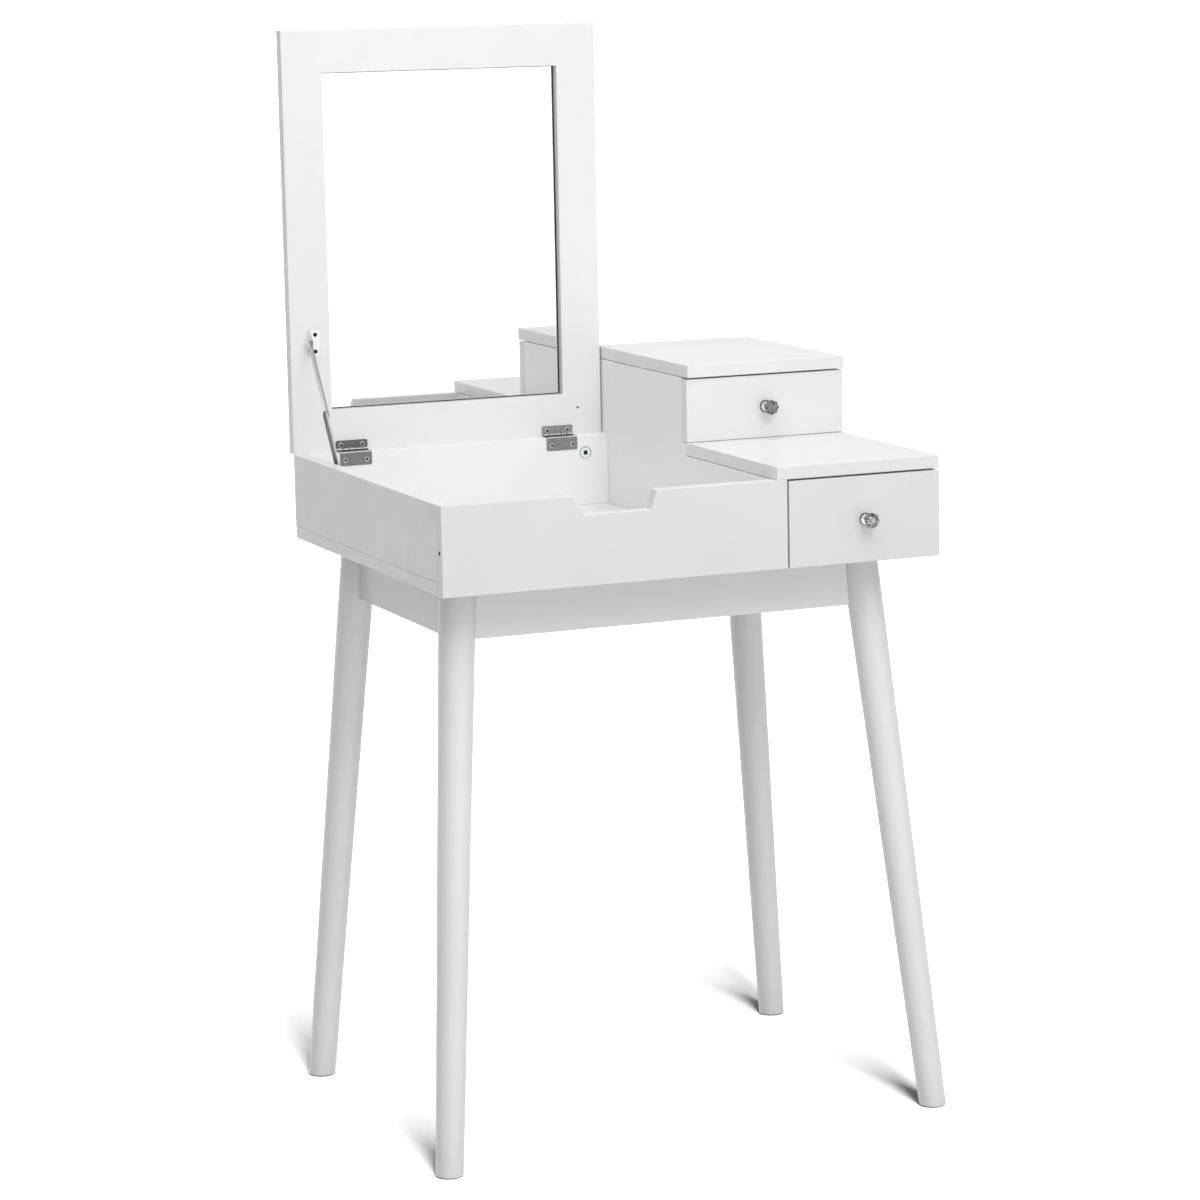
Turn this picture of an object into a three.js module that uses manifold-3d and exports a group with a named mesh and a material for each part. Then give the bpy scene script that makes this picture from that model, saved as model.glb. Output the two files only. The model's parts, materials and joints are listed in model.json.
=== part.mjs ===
// Vanity table: a shallow box on four splayed legs, a folding mirror lid over its left side,
// and a two-step drawer tower on its right. Millimetres, +Z up, front towards -Y.
// Inside the `table` group X is 0 at the table's middle, Y is 0 at the box's front plane and
// Z is 0 at the box's underside.
import * as THREE from 'three';
import { mergeVertices } from 'three/addons/utils/BufferGeometryUtils.js';
import Module from 'manifold-3d';

const wasm = await Module();
wasm.setup();

// ---------------------------------------------------------------- driving dimensions
const TABLE_WIDTH = 600;
const TABLE_DEPTH = 498;
const BOX_UNDERSIDE = 652; // height of the box's underside above the floor
const BOX_HEIGHT = 100;
const BOARD = 15; // thickness of every carcass board
const FIT = 0.25; // clearance between glued or seated pieces with curved or turned faces

// drawer tower on the right
const TOWER_WIDTH = 202;
const UPPER_CAVITY_HEIGHT = 76;
const UPPER_TOP_FRONT = 240; // front edge of the upper top board
const UPPER_DRAWER_SETBACK = 4; // upper drawer's face behind that edge
const STEP_BOARD_NOTCH = 247; // where the tall part of the divider meets the step board

// front panel and its finger notch, measured from the panel's left end
const FRONT_PANEL_OVERLAP = 12.5; // how far the front panel covers the divider's front edge
const NOTCH_START = 153;
const NOTCH_WIDTH = 99;
const NOTCH_DEPTH = 21.5;
const NOTCH_LEFT_RUN = 12;
const NOTCH_RIGHT_RUN = 6;
const DOWEL_HOLE_RADIUS = 2.5;
const DOWEL_HOLE_DEPTH = 10;
const DOWEL_HOLE_HEIGHT = 48;

// connectors of the box
const CAM_RADIUS = 7;
const CAM_DEPTH = 12;
const CAM_FROM_DIVIDER = 29.5;
const CAM_DROP = 21; // cam's centre below the panel's top edge
const CAM_CROSS_WIDTH = 1.8;
const CAM_CROSS_LENGTH = 6.8;
const CAM_CROSS_DEPTH = 3;
const CAM_CLEARANCE = 0.5;
const FLOOR_SLOT_WIDTH = 9;
const FLOOR_SLOT_LENGTH = 6;
const FLOOR_SLOT_DEPTH = 8;
const FLOOR_SLOT_FROM_BACK = 41;

// drawers
const DRAWER_REVEAL = 2; // shadow gap beside and above the drawer fronts
const DRAWER_STEP_GAP = 0.5; // upper drawer's front above the step board
const DRAWER_STOP_GAP = 0.5; // a closed front to the carcass edge behind it
const LOWER_DRAWER_BACK_GAP = 28.5; // drawer box to the back panel
const UPPER_DRAWER_BACK_GAP = 31.5;
const LOWER_DRAWER_SIDE_HEIGHT = 62;
const UPPER_DRAWER_SIDE_HEIGHT = 56;
const DRAWER_SIDE = 12;
const DRAWER_SIDE_GAP = 1.5; // drawer side to cavity wall
const DRAWER_LIFT = 5; // drawer sides above the cavity floor
const DRAWER_BOTTOM = 4;
const DRAWER_BOTTOM_RAISE = 6; // drawer bottom above the sides' lower edges
const DRAWER_GROOVE = 5; // how deep the bottom sits in the sides
const RUNNER_HEIGHT = 10;
const RUNNER_WIDTH = 5;
const RUNNER_SETBACK = 8; // runner's front end behind the drawer front
const RUNNER_TOP_GAP = 0.25; // the drawer rides on the runner's top
const RUNNER_BOTTOM_GAP = 0.75;
const RUNNER_SIDE_GAP = 0.5;

// knobs
const KNOB_RADIUS = 9.2;
const KNOB_LENGTH = 18.5;
const KNOB_PETALS = 8;
const KNOB_PETAL_DEPTH = 0.9;
const KNOB_BASE_RADIUS = 7.3;
const KNOB_BASE_LENGTH = 5.5;
const KNOB_STEM_RADIUS = 3.5;
const KNOB_BOLT_RADIUS = 2;
const KNOB_BOLT_HEAD_RADIUS = 4.5;
const KNOB_BOLT_HEAD = 2;

// mirror lid
const LID_THICKNESS = 15;
const LID_PANEL = 3; // thin outer panel of the lid
const LID_SIDE_GAP = 2; // lid to divider
const STILE = 49.5; // width of the lid frame's uprights
const RAIL = 50.5; // width of the lid frame's cross rails
const GLASS = 3;
const GLASS_GAP_SIDE = 2.5; // glass edge to frame on the right
const GLASS_GAP_BOTTOM = 1.25;
const GLASS_GAP_SMALL = 0.5; // glass edge to frame on the left and at the top
const LID_HOLE_RADIUS = 1.75;
const LID_HOLE_DEPTH = 8;
const LID_HOLE_FROM_EDGE = 30.5;
const LID_HOLE_HEIGHT = 33;

// lid hinges: leaves are rolled round the pin
const HINGE_WIDTH = 40;
const HINGE_INSET_LEFT = 72.5; // hinge middle from the table's left side
const HINGE_INSET_RIGHT = 60.5; // hinge middle from the divider
const HINGE_LEAF = 0.75;
const HINGE_PIN_RADIUS = 0.95;
const HINGE_PIN_CLEARANCE = 0.05;
const HINGE_KNUCKLES = 5;
const KNUCKLE_GAP = 0.4;
const HINGE_FLANGE = 16; // box leaf down the back panel's inner face
const HINGE_LID_LEAF = 11; // lid leaf up the lid's face from the pin
const HINGE_CORNER = 2; // radius of the leaves' free corners
const HINGE_BEND = 1.5; // radius of the box leaf's bend
const HINGE_SCREW_SPACING = 27;
const HINGE_SCREW_DROP = 9.25; // box leaf screws below the panel's top edge
const HINGE_SCREW_RISE = 5.75; // lid leaf screws above the pin
const SCREW_HOLE_RADIUS = 1.5;

// folding stay on the left side: two links that lie in line with the lid open; Y and Z of the
// three pivots in that pose
const STAY_LID_PIVOT_FROM_LID = 10;
const STAY_LID_PIVOT_HEIGHT = 131; // above the box's top edge
const STAY_ELBOW_FROM_LID = 65.75;
const STAY_ELBOW_HEIGHT = 52;
const STAY_BOX_PIVOT_FROM_LID = 121.5;
const STAY_BOX_PIVOT_DROP = 27; // below the box's top edge
const STAY_PLATE = 1.5; // box bracket on the side panel
const STAY_PLATE_SIZE = 34;
const STAY_BOSS = 1.25; // washer between box bracket and lower link
const STAY_LINK = 2;
const STAY_LINK_GAP = 0.5;
const STAY_LOWER_LINK_WIDTH = 12;
const STAY_UPPER_LINK_WIDTH = 9;
const STAY_EAR = 1.5;
const STAY_EAR_RADIUS = 6;
const STAY_FLANGE_WIDTH = 14.5;
const STAY_FLANGE_HEIGHT = 33;
const STAY_SCREW_SPACING = 20;
const RIVET_RADIUS = 2;
const RIVET_CLEARANCE = 0.15;
const RIVET_HEAD_RADIUS = 4;
const RIVET_HEAD = 1.2;

// legs and aprons
const LEG_TOP_RADIUS = 21;
const LEG_FOOT_RADIUS = 15.75;
const LEG_FOOT_ROUND = 2;
const LEG_INSET_SIDE = 53.75; // leg's top centre from the box's side
const LEG_INSET_FRONT = 98.5;
const LEG_INSET_BACK = 73;
const LEG_SPLAY_SIDE = 54.75; // foot centre outside the top centre
const LEG_SPLAY_FRONT = 74;
const LEG_SPLAY_BACK = 39.5;
const APRON_HEIGHT = 64.5;
const GLIDE_RADIUS = 10;
const GLIDE_HEIGHT = 1.5;
const CORNER_BLOCK_REACH = 50; // along each apron, from the aprons' inner corner
const CORNER_BLOCK_INNER = 20;
const CORNER_BLOCK_HEIGHT = 45;

// smoothness of round pieces
const LEG_FACETS = 40;
const SMALL_FACETS = 20;

// ---------------------------------------------------------------- places worked out from them
const LEFT = -TABLE_WIDTH / 2;
const RIGHT = TABLE_WIDTH / 2;
const BACK = TABLE_DEPTH;
const CARCASS_FRONT = BOARD;
const BACK_PANEL_INNER = BACK - BOARD;
const INNER_LEFT = LEFT + BOARD;
const DIVIDER = RIGHT - TOWER_WIDTH;
const CAVITY_LEFT = DIVIDER + BOARD;
const CAVITY_RIGHT = RIGHT - BOARD;
const FRONT_PANEL_END = DIVIDER + FRONT_PANEL_OVERLAP;
const TOWER_BACK = BACK + LID_THICKNESS; // flush with the opened lid
const STEP_TOP = BOX_HEIGHT + BOARD;
const UPPER_BOARD_BOTTOM = STEP_TOP + UPPER_CAVITY_HEIGHT;
const UPPER_CARCASS_FRONT = UPPER_TOP_FRONT + UPPER_DRAWER_SETBACK + BOARD;

const KNUCKLE_RADIUS = HINGE_PIN_RADIUS + HINGE_PIN_CLEARANCE + HINGE_LEAF;
const PIN_Y = BACK - KNUCKLE_RADIUS;
const PIN_Z = BOX_HEIGHT + KNUCKLE_RADIUS;
const LID_WIDTH = DIVIDER - LID_SIDE_GAP - LEFT;
const LID_RIGHT = LEFT + LID_WIDTH;
const LID_LENGTH = TABLE_DEPTH;
const LID_FRAME_THICKNESS = LID_THICKNESS - LID_PANEL;
const LID_FACE = BACK;
const LID_BOTTOM = BOX_HEIGHT;

const LEG_HEIGHT = BOX_UNDERSIDE - GLIDE_HEIGHT;
const KNOB_TIP = DRAWER_STOP_GAP + KNOB_BASE_LENGTH + KNOB_LENGTH;

// ---------------------------------------------------------------- finishes
const finish = (color, roughness, metalness) => () => (
  new THREE.MeshStandardMaterial({ color, roughness, metalness })
);
const whiteLacquer = finish(0xf3f3f3, 0.45, 0);
const legLacquer = finish(0xe9e9e8, 0.5, 0);
const drawerWood = finish(0xe6e2d8, 0.7, 0);
const mirrorSilver = finish(0xe8efec, 0.05, 1);
const nickelSteel = finish(0x9c9993, 0.32, 1);
const brightSteel = finish(0xc9c9c7, 0.22, 1);
const crystal = finish(0xd7dde0, 0.06, 0);
const darkPlastic = finish(0x3a3a3c, 0.6, 0);
const zincCam = finish(0xb5b6b6, 0.4, 1);

// ---------------------------------------------------------------- shape helpers
const ALONG_X = new THREE.Matrix4().makeBasis(
  new THREE.Vector3(0, 1, 0), new THREE.Vector3(0, 0, 1), new THREE.Vector3(1, 0, 0));
const ALONG_MINUS_Y = new THREE.Matrix4().makeBasis(
  new THREE.Vector3(1, 0, 0), new THREE.Vector3(0, 0, 1), new THREE.Vector3(0, -1, 0));

function polygon(points) {
  return new THREE.Shape(points.map(([x, y]) => new THREE.Vector2(x, y)));
}

function circlePath(x, y, radius) {
  return new THREE.Path().absarc(x, y, radius, 0, 2 * Math.PI, true);
}

function extrude(shape, depth, curveSegments = 12) {
  return new THREE.ExtrudeGeometry(shape, { depth, bevelEnabled: false, curveSegments });
}

// a profile drawn in (Y, Z), run from x0 to x1
function extrudeAlongX(shape, x0, x1, curveSegments) {
  return extrude(shape, x1 - x0, curveSegments).applyMatrix4(ALONG_X).translate(x0, 0, 0);
}

// a profile drawn in (X, Z), run from y0 to y1
function extrudeAlongY(shape, y0, y1, curveSegments) {
  return extrude(shape, y1 - y0, curveSegments).applyMatrix4(ALONG_MINUS_Y).translate(0, y1, 0);
}

// a profile drawn in (X, Y), run from z0 to z1
function extrudeAlongZ(shape, z0, z1, curveSegments) {
  return extrude(shape, z1 - z0, curveSegments).translate(0, 0, z0);
}

function block([x0, x1], [y0, y1], [z0, z1]) {
  return new THREE.BoxGeometry(x1 - x0, y1 - y0, z1 - z0)
    .translate((x0 + x1) / 2, (y0 + y1) / 2, (z0 + z1) / 2);
}

// a solid of revolution about Z from [radius, z] points that rise with z
function turned(points, segments = SMALL_FACETS) {
  return new THREE.LatheGeometry(points.map(([r, z]) => new THREE.Vector2(r, z)), segments)
    .rotateX(Math.PI / 2);
}

// a plain cylinder on Z from z0 to z1
function rod(radius, z0, z1, segments = SMALL_FACETS) {
  return turned([[0, z0], [radius, z0], [radius, z1], [0, z1]], segments);
}

const pointAlongX = (geometry) => geometry.rotateY(Math.PI / 2);
const pointAlongFront = (geometry) => geometry.rotateX(Math.PI / 2);

function toSolid(geometry) {
  const bare = geometry.clone();
  bare.deleteAttribute('normal');
  bare.deleteAttribute('uv');
  const welded = mergeVertices(bare, 1e-4);
  return new wasm.Manifold(new wasm.Mesh({
    numProp: 3,
    vertProperties: Float32Array.from(welded.attributes.position.array),
    triVerts: Uint32Array.from(welded.index.array),
  }));
}

function toGeometry(solid) {
  const mesh = solid.getMesh();
  const geometry = new THREE.BufferGeometry();
  geometry.setAttribute('position', new THREE.BufferAttribute(mesh.vertProperties, 3));
  geometry.setIndex(new THREE.BufferAttribute(mesh.triVerts, 1));
  geometry.computeVertexNormals();
  return geometry;
}

function cut(geometry, ...tools) {
  return toGeometry(tools.reduce((solid, tool) => solid.subtract(toSolid(tool)), toSolid(geometry)));
}

function join(geometry, ...others) {
  return toGeometry(others.reduce((solid, other) => solid.add(toSolid(other)), toSolid(geometry)));
}

const table = new THREE.Group();
const lid = new THREE.Group();
table.add(lid);

function piece(parent, name, geometry, material) {
  const mesh = new THREE.Mesh(geometry, material());
  mesh.name = name;
  parent.add(mesh);
  return mesh;
}

// ---------------------------------------------------------------- carcass
function addBottomBoard() {
  const slotLeft = DIVIDER - CAM_FROM_DIVIDER - FLOOR_SLOT_WIDTH / 2;
  const slotFront = BACK - BOARD - FLOOR_SLOT_FROM_BACK;
  const slot = block(
    [slotLeft, slotLeft + FLOOR_SLOT_WIDTH],
    [slotFront, slotFront + FLOOR_SLOT_LENGTH],
    [BOARD - FLOOR_SLOT_DEPTH, BOARD + 1]);
  const board = block([LEFT, RIGHT], [CARCASS_FRONT, BACK], [0, BOARD]);
  piece(table, 'bottom_board', cut(board, slot), whiteLacquer);
}

function addSidePanels() {
  const lower = [BOARD, BOX_HEIGHT];
  const upper = [STEP_TOP, UPPER_BOARD_BOTTOM];
  piece(table, 'left_side_panel',
    block([LEFT, INNER_LEFT], [CARCASS_FRONT, BACK], lower), whiteLacquer);
  piece(table, 'right_side_lower',
    block([CAVITY_RIGHT, RIGHT], [CARCASS_FRONT, BACK], lower), whiteLacquer);
  piece(table, 'right_side_upper',
    block([CAVITY_RIGHT, RIGHT], [UPPER_CARCASS_FRONT, TOWER_BACK], upper), whiteLacquer);
}

function addBackPanels() {
  const y = [BACK_PANEL_INNER, BACK];
  const cam = rod(CAM_RADIUS + CAM_CLEARANCE, 0, CAM_DEPTH + FIT + 1);
  pointAlongFront(cam).translate(
    DIVIDER - CAM_FROM_DIVIDER, BACK_PANEL_INNER + CAM_DEPTH + FIT, BOX_HEIGHT - CAM_DROP);
  const main = block([INNER_LEFT, DIVIDER], y, [BOARD, BOX_HEIGHT]);
  piece(table, 'back_panel', cut(main, cam), whiteLacquer);
  piece(table, 'lower_drawer_back_panel',
    block([CAVITY_LEFT, CAVITY_RIGHT], y, [BOARD, BOX_HEIGHT]), whiteLacquer);
  piece(table, 'upper_drawer_back_panel',
    block([CAVITY_LEFT, CAVITY_RIGHT], [TOWER_BACK - BOARD, TOWER_BACK],
      [STEP_TOP, UPPER_BOARD_BOTTOM]), whiteLacquer);
}

function addFrontPanel() {
  const notchLeft = LEFT + NOTCH_START;
  const notchRight = notchLeft + NOTCH_WIDTH;
  const notchBottom = BOX_HEIGHT - NOTCH_DEPTH;
  const outline = polygon([
    [LEFT, 0], [FRONT_PANEL_END, 0], [FRONT_PANEL_END, BOX_HEIGHT], [notchRight, BOX_HEIGHT],
    [notchRight - NOTCH_RIGHT_RUN, notchBottom], [notchLeft + NOTCH_LEFT_RUN, notchBottom],
    [notchLeft, BOX_HEIGHT], [LEFT, BOX_HEIGHT],
  ]);
  const dowelHole = pointAlongX(rod(DOWEL_HOLE_RADIUS, -1, DOWEL_HOLE_DEPTH))
    .translate(LEFT, BOARD / 2, DOWEL_HOLE_HEIGHT);
  const panel = cut(extrudeAlongY(outline, 0, BOARD), dowelHole);
  piece(table, 'front_panel', panel, whiteLacquer);
}

function addDivider() {
  const outline = polygon([
    [CARCASS_FRONT, BOARD], [BACK, BOARD], [BACK, BOX_HEIGHT],
    [TOWER_BACK, BOX_HEIGHT], [TOWER_BACK, UPPER_BOARD_BOTTOM],
    [UPPER_CARCASS_FRONT, UPPER_BOARD_BOTTOM], [UPPER_CARCASS_FRONT, STEP_TOP],
    [STEP_BOARD_NOTCH, STEP_TOP], [STEP_BOARD_NOTCH, BOX_HEIGHT], [CARCASS_FRONT, BOX_HEIGHT],
  ]);
  piece(table, 'divider_panel', extrudeAlongX(outline, DIVIDER, CAVITY_LEFT), whiteLacquer);
}

function addTopBoards() {
  const step = polygon([
    [DIVIDER, 0], [RIGHT, 0], [RIGHT, TOWER_BACK], [CAVITY_LEFT, TOWER_BACK],
    [CAVITY_LEFT, STEP_BOARD_NOTCH], [DIVIDER, STEP_BOARD_NOTCH],
  ]);
  piece(table, 'lower_top_board', extrudeAlongZ(step, BOX_HEIGHT, STEP_TOP), whiteLacquer);
  const upper = block([DIVIDER, RIGHT], [UPPER_TOP_FRONT, TOWER_BACK],
    [UPPER_BOARD_BOTTOM, UPPER_BOARD_BOTTOM + BOARD]);
  piece(table, 'upper_top_board', upper, whiteLacquer);
}

function addCamLock() {
  const disc = rod(CAM_RADIUS, 0, CAM_DEPTH);
  const armLong = CAM_CROSS_LENGTH / 2;
  const armWide = CAM_CROSS_WIDTH / 2;
  const depth = [CAM_DEPTH - CAM_CROSS_DEPTH, CAM_DEPTH + 1];
  const arms = [Math.PI / 4, -Math.PI / 4].map((turn) => (
    block([-armLong, armLong], [-armWide, armWide], depth).rotateZ(turn)));
  const cam = cut(disc, ...arms);
  pointAlongFront(cam).translate(
    DIVIDER - CAM_FROM_DIVIDER, BACK_PANEL_INNER + CAM_DEPTH, BOX_HEIGHT - CAM_DROP);
  piece(table, 'cam_lock', cam, zincCam);
}

// ---------------------------------------------------------------- legs and aprons
const legPlaces = ['front', 'back'].flatMap((end) => [-1, 1].map((side) => ({
  name: `${end}_${side < 0 ? 'left' : 'right'}`,
  side,
  depthSide: end === 'front' ? -1 : 1,
  x: side * (TABLE_WIDTH / 2 - LEG_INSET_SIDE),
  y: end === 'front' ? LEG_INSET_FRONT : BACK - LEG_INSET_BACK,
  splayX: side * LEG_SPLAY_SIDE,
  splayY: end === 'front' ? -LEG_SPLAY_FRONT : LEG_SPLAY_BACK,
})));

// shears a turned piece so that it follows the leg's splay and its ends stay level
function splayed(geometry, leg) {
  const shear = new THREE.Matrix4().set(
    1, 0, -leg.splayX / BOX_UNDERSIDE, leg.x,
    0, 1, -leg.splayY / BOX_UNDERSIDE, leg.y,
    0, 0, 1, 0,
    0, 0, 0, 1);
  return geometry.applyMatrix4(shear);
}

function legGeometry(leg) {
  const round = LEG_FOOT_ROUND;
  return splayed(turned([
    [0, -LEG_HEIGHT],
    [LEG_FOOT_RADIUS - round, -LEG_HEIGHT],
    [LEG_FOOT_RADIUS - round * 0.3, -LEG_HEIGHT + round * 0.3],
    [LEG_FOOT_RADIUS, -LEG_HEIGHT + round],
    [LEG_TOP_RADIUS, 0],
    [0, 0],
  ], LEG_FACETS), leg);
}

// the leg's upper end, grown by the fit clearance: the tool that copes the aprons
function legCopingTool(leg) {
  const taper = (LEG_TOP_RADIUS - LEG_FOOT_RADIUS) / LEG_HEIGHT;
  const low = -2 * APRON_HEIGHT;
  const radius = (z) => LEG_TOP_RADIUS + taper * z + FIT;
  return splayed(turned([
    [0, low], [radius(low), low], [radius(10), 10], [0, 10],
  ], LEG_FACETS), leg);
}

function addLegs() {
  for (const leg of legPlaces) {
    piece(table, `leg_${leg.name}`, legGeometry(leg), legLacquer);
  }
}

function addAprons() {
  const cope = (blank) => cut(blank, ...legPlaces.map(legCopingTool));
  const half = BOARD / 2;
  const legX = TABLE_WIDTH / 2 - LEG_INSET_SIDE;
  const frontY = LEG_INSET_FRONT;
  const backY = BACK - LEG_INSET_BACK;
  const z = [-APRON_HEIGHT, 0];
  const across = [-legX, legX];
  const along = [frontY, backY];
  piece(table, 'front_apron', cope(block(across, [frontY - half, frontY + half], z)), whiteLacquer);
  piece(table, 'back_apron', cope(block(across, [backY - half, backY + half], z)), whiteLacquer);
  piece(table, 'left_apron', cope(block([-legX - half, -legX + half], along, z)), whiteLacquer);
  piece(table, 'right_apron', cope(block([legX - half, legX + half], along, z)), whiteLacquer);
}

// a block in each inner corner of the aprons, its long face across the corner
function addCornerBlocks() {
  for (const leg of legPlaces) {
    const innerX = leg.x - leg.side * BOARD / 2;
    const innerY = leg.y - leg.depthSide * BOARD / 2;
    const outline = polygon([
      [innerX - leg.side * CORNER_BLOCK_REACH, innerY],
      [innerX - leg.side * CORNER_BLOCK_INNER, innerY],
      [innerX, innerY - leg.depthSide * CORNER_BLOCK_INNER],
      [innerX, innerY - leg.depthSide * CORNER_BLOCK_REACH],
    ]);
    piece(table, `corner_block_${leg.name}`,
      extrudeAlongZ(outline, -CORNER_BLOCK_HEIGHT, 0), drawerWood);
  }
}

function addFootGlides() {
  for (const leg of legPlaces) {
    const glide = splayed(turned([
      [0, -BOX_UNDERSIDE],
      [GLIDE_RADIUS - GLIDE_HEIGHT / 2, -BOX_UNDERSIDE],
      [GLIDE_RADIUS, -LEG_HEIGHT],
      [0, -LEG_HEIGHT],
    ]), leg);
    piece(table, `foot_glide_${leg.name}`, glide, darkPlastic);
  }
}

// ---------------------------------------------------------------- mirror lid
function addLidBoards() {
  const top = LID_BOTTOM + LID_LENGTH;
  const frame = polygon([
    [LEFT, LID_BOTTOM], [LID_RIGHT, LID_BOTTOM], [LID_RIGHT, top], [LEFT, top],
  ]);
  frame.holes.push(polygon([
    [LEFT + STILE, LID_BOTTOM + RAIL], [LEFT + STILE, top - RAIL],
    [LID_RIGHT - STILE, top - RAIL], [LID_RIGHT - STILE, LID_BOTTOM + RAIL],
  ]));
  const hole = pointAlongFront(rod(LID_HOLE_RADIUS, 0, LID_HOLE_DEPTH + 1)).translate(
    LID_RIGHT - LID_HOLE_FROM_EDGE, LID_FACE + LID_HOLE_DEPTH, LID_BOTTOM + LID_HOLE_HEIGHT);
  const panelFront = LID_FACE + LID_FRAME_THICKNESS;
  piece(lid, 'lid_frame', cut(extrudeAlongY(frame, LID_FACE, panelFront), hole), whiteLacquer);
  piece(lid, 'lid_outer_panel',
    block([LEFT, LID_RIGHT], [panelFront, LID_FACE + LID_THICKNESS], [LID_BOTTOM, top]),
    whiteLacquer);
  piece(lid, 'mirror_glass', block(
    [LEFT + STILE + GLASS_GAP_SMALL, LID_RIGHT - STILE - GLASS_GAP_SIDE],
    [panelFront - GLASS, panelFront],
    [LID_BOTTOM + RAIL + GLASS_GAP_BOTTOM, top - RAIL - GLASS_GAP_SMALL]), mirrorSilver);
}

// ---------------------------------------------------------------- hinges
const hingePlaces = [
  { name: 'left', x: LEFT + HINGE_INSET_LEFT },
  { name: 'right', x: DIVIDER - HINGE_INSET_RIGHT },
];

// the knuckles of one leaf: every second one, starting at `first`
function knuckles(first) {
  const pitch = HINGE_WIDTH / HINGE_KNUCKLES;
  const bore = HINGE_PIN_RADIUS + HINGE_PIN_CLEARANCE;
  const rings = [];
  for (let i = first; i < HINGE_KNUCKLES; i += 2) {
    const ring = new THREE.Shape().absarc(PIN_Y, PIN_Z, KNUCKLE_RADIUS, 0, 2 * Math.PI, false);
    ring.holes.push(circlePath(PIN_Y, PIN_Z, bore));
    const start = -HINGE_WIDTH / 2 + i * pitch;
    rings.push(extrudeAlongX(ring, start + KNUCKLE_GAP / 2, start + pitch - KNUCKLE_GAP / 2, 10));
  }
  return rings;
}

// cuts the other leaf's knuckles free of a plate that runs up to the pin
function knuckleSlots(first) {
  const pitch = HINGE_WIDTH / HINGE_KNUCKLES;
  const reach = KNUCKLE_RADIUS + KNUCKLE_GAP;
  const slots = [];
  for (let i = first; i < HINGE_KNUCKLES; i += 2) {
    const start = -HINGE_WIDTH / 2 + i * pitch;
    slots.push(block(
      [start - KNUCKLE_GAP / 2, start + pitch + KNUCKLE_GAP / 2],
      [PIN_Y - reach, PIN_Y + reach], [PIN_Z - reach, PIN_Z + reach]));
  }
  return slots;
}

function screwHoles(y0, y1, z) {
  return [-1, 1].map((side) => pointAlongFront(
    rod(SCREW_HOLE_RADIUS, y0, y1, 12).rotateX(Math.PI))
    .translate(side * HINGE_SCREW_SPACING / 2, 0, z));
}

// a leaf's flat plate in (X, Z) with its two free corners rounded, free edge at `tip`
function leafPlate(root, tip, y0, y1) {
  const half = HINGE_WIDTH / 2;
  const up = Math.sign(tip - root);
  const clockwise = up > 0;
  const start = up * Math.PI / 2;
  const outline = new THREE.Shape();
  outline.moveTo(half, root);
  outline.lineTo(-half, root);
  const cornerZ = tip - up * HINGE_CORNER;
  outline.absarc(HINGE_CORNER - half, cornerZ, HINGE_CORNER, Math.PI, start, clockwise);
  outline.absarc(half - HINGE_CORNER, cornerZ, HINGE_CORNER, start, 0, clockwise);
  return extrudeAlongY(outline, y0, y1, 4);
}

function boxLeafGeometry() {
  const inner = BACK_PANEL_INNER - HINGE_LEAF;
  const top = BOX_HEIGHT + HINGE_LEAF;
  const bendStart = BOX_HEIGHT - 2 * HINGE_BEND;
  const bend = new THREE.Shape();
  bend.moveTo(PIN_Y, BOX_HEIGHT);
  bend.lineTo(PIN_Y, top);
  bend.absarc(inner + HINGE_BEND, top - HINGE_BEND, HINGE_BEND, Math.PI / 2, Math.PI, false);
  bend.lineTo(inner, bendStart);
  bend.lineTo(BACK_PANEL_INNER, bendStart);
  bend.lineTo(BACK_PANEL_INNER, BOX_HEIGHT);
  const overTop = extrudeAlongX(bend, -HINGE_WIDTH / 2, HINGE_WIDTH / 2, 4);
  const flange = leafPlate(
    BOX_HEIGHT - HINGE_BEND, BOX_HEIGHT - HINGE_FLANGE, inner, BACK_PANEL_INNER);
  const holes = screwHoles(inner - 1, BACK_PANEL_INNER + 1, BOX_HEIGHT - HINGE_SCREW_DROP);
  const bent = cut(join(overTop, flange), ...knuckleSlots(1), ...holes);
  return cut(join(bent, ...knuckles(0)), pinBore());
}

function lidLeafGeometry() {
  const plate = leafPlate(PIN_Z, PIN_Z + HINGE_LID_LEAF, LID_FACE - HINGE_LEAF, LID_FACE);
  const holes = screwHoles(LID_FACE - HINGE_LEAF - 1, LID_FACE + 1, PIN_Z + HINGE_SCREW_RISE);
  const flat = cut(plate, ...knuckleSlots(0), ...holes);
  return cut(join(flat, ...knuckles(1)), pinBore());
}

function pinBore() {
  return pointAlongX(rod(HINGE_PIN_RADIUS + HINGE_PIN_CLEARANCE, -HINGE_WIDTH, HINGE_WIDTH, 40))
    .translate(0, PIN_Y, PIN_Z);
}

function addHinges() {
  for (const hinge of hingePlaces) {
    const boxLeaf = boxLeafGeometry();
    const lidLeaf = lidLeafGeometry();
    const pin = pointAlongX(rod(HINGE_PIN_RADIUS, -HINGE_WIDTH / 2, HINGE_WIDTH / 2))
      .translate(0, PIN_Y, PIN_Z);
    piece(table, `hinge_box_leaf_${hinge.name}`, boxLeaf.translate(hinge.x, 0, 0), nickelSteel);
    piece(lid, `hinge_lid_leaf_${hinge.name}`, lidLeaf.translate(hinge.x, 0, 0), nickelSteel);
    piece(table, `hinge_pin_${hinge.name}`, pin.translate(hinge.x, 0, 0), brightSteel);
  }
}

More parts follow.
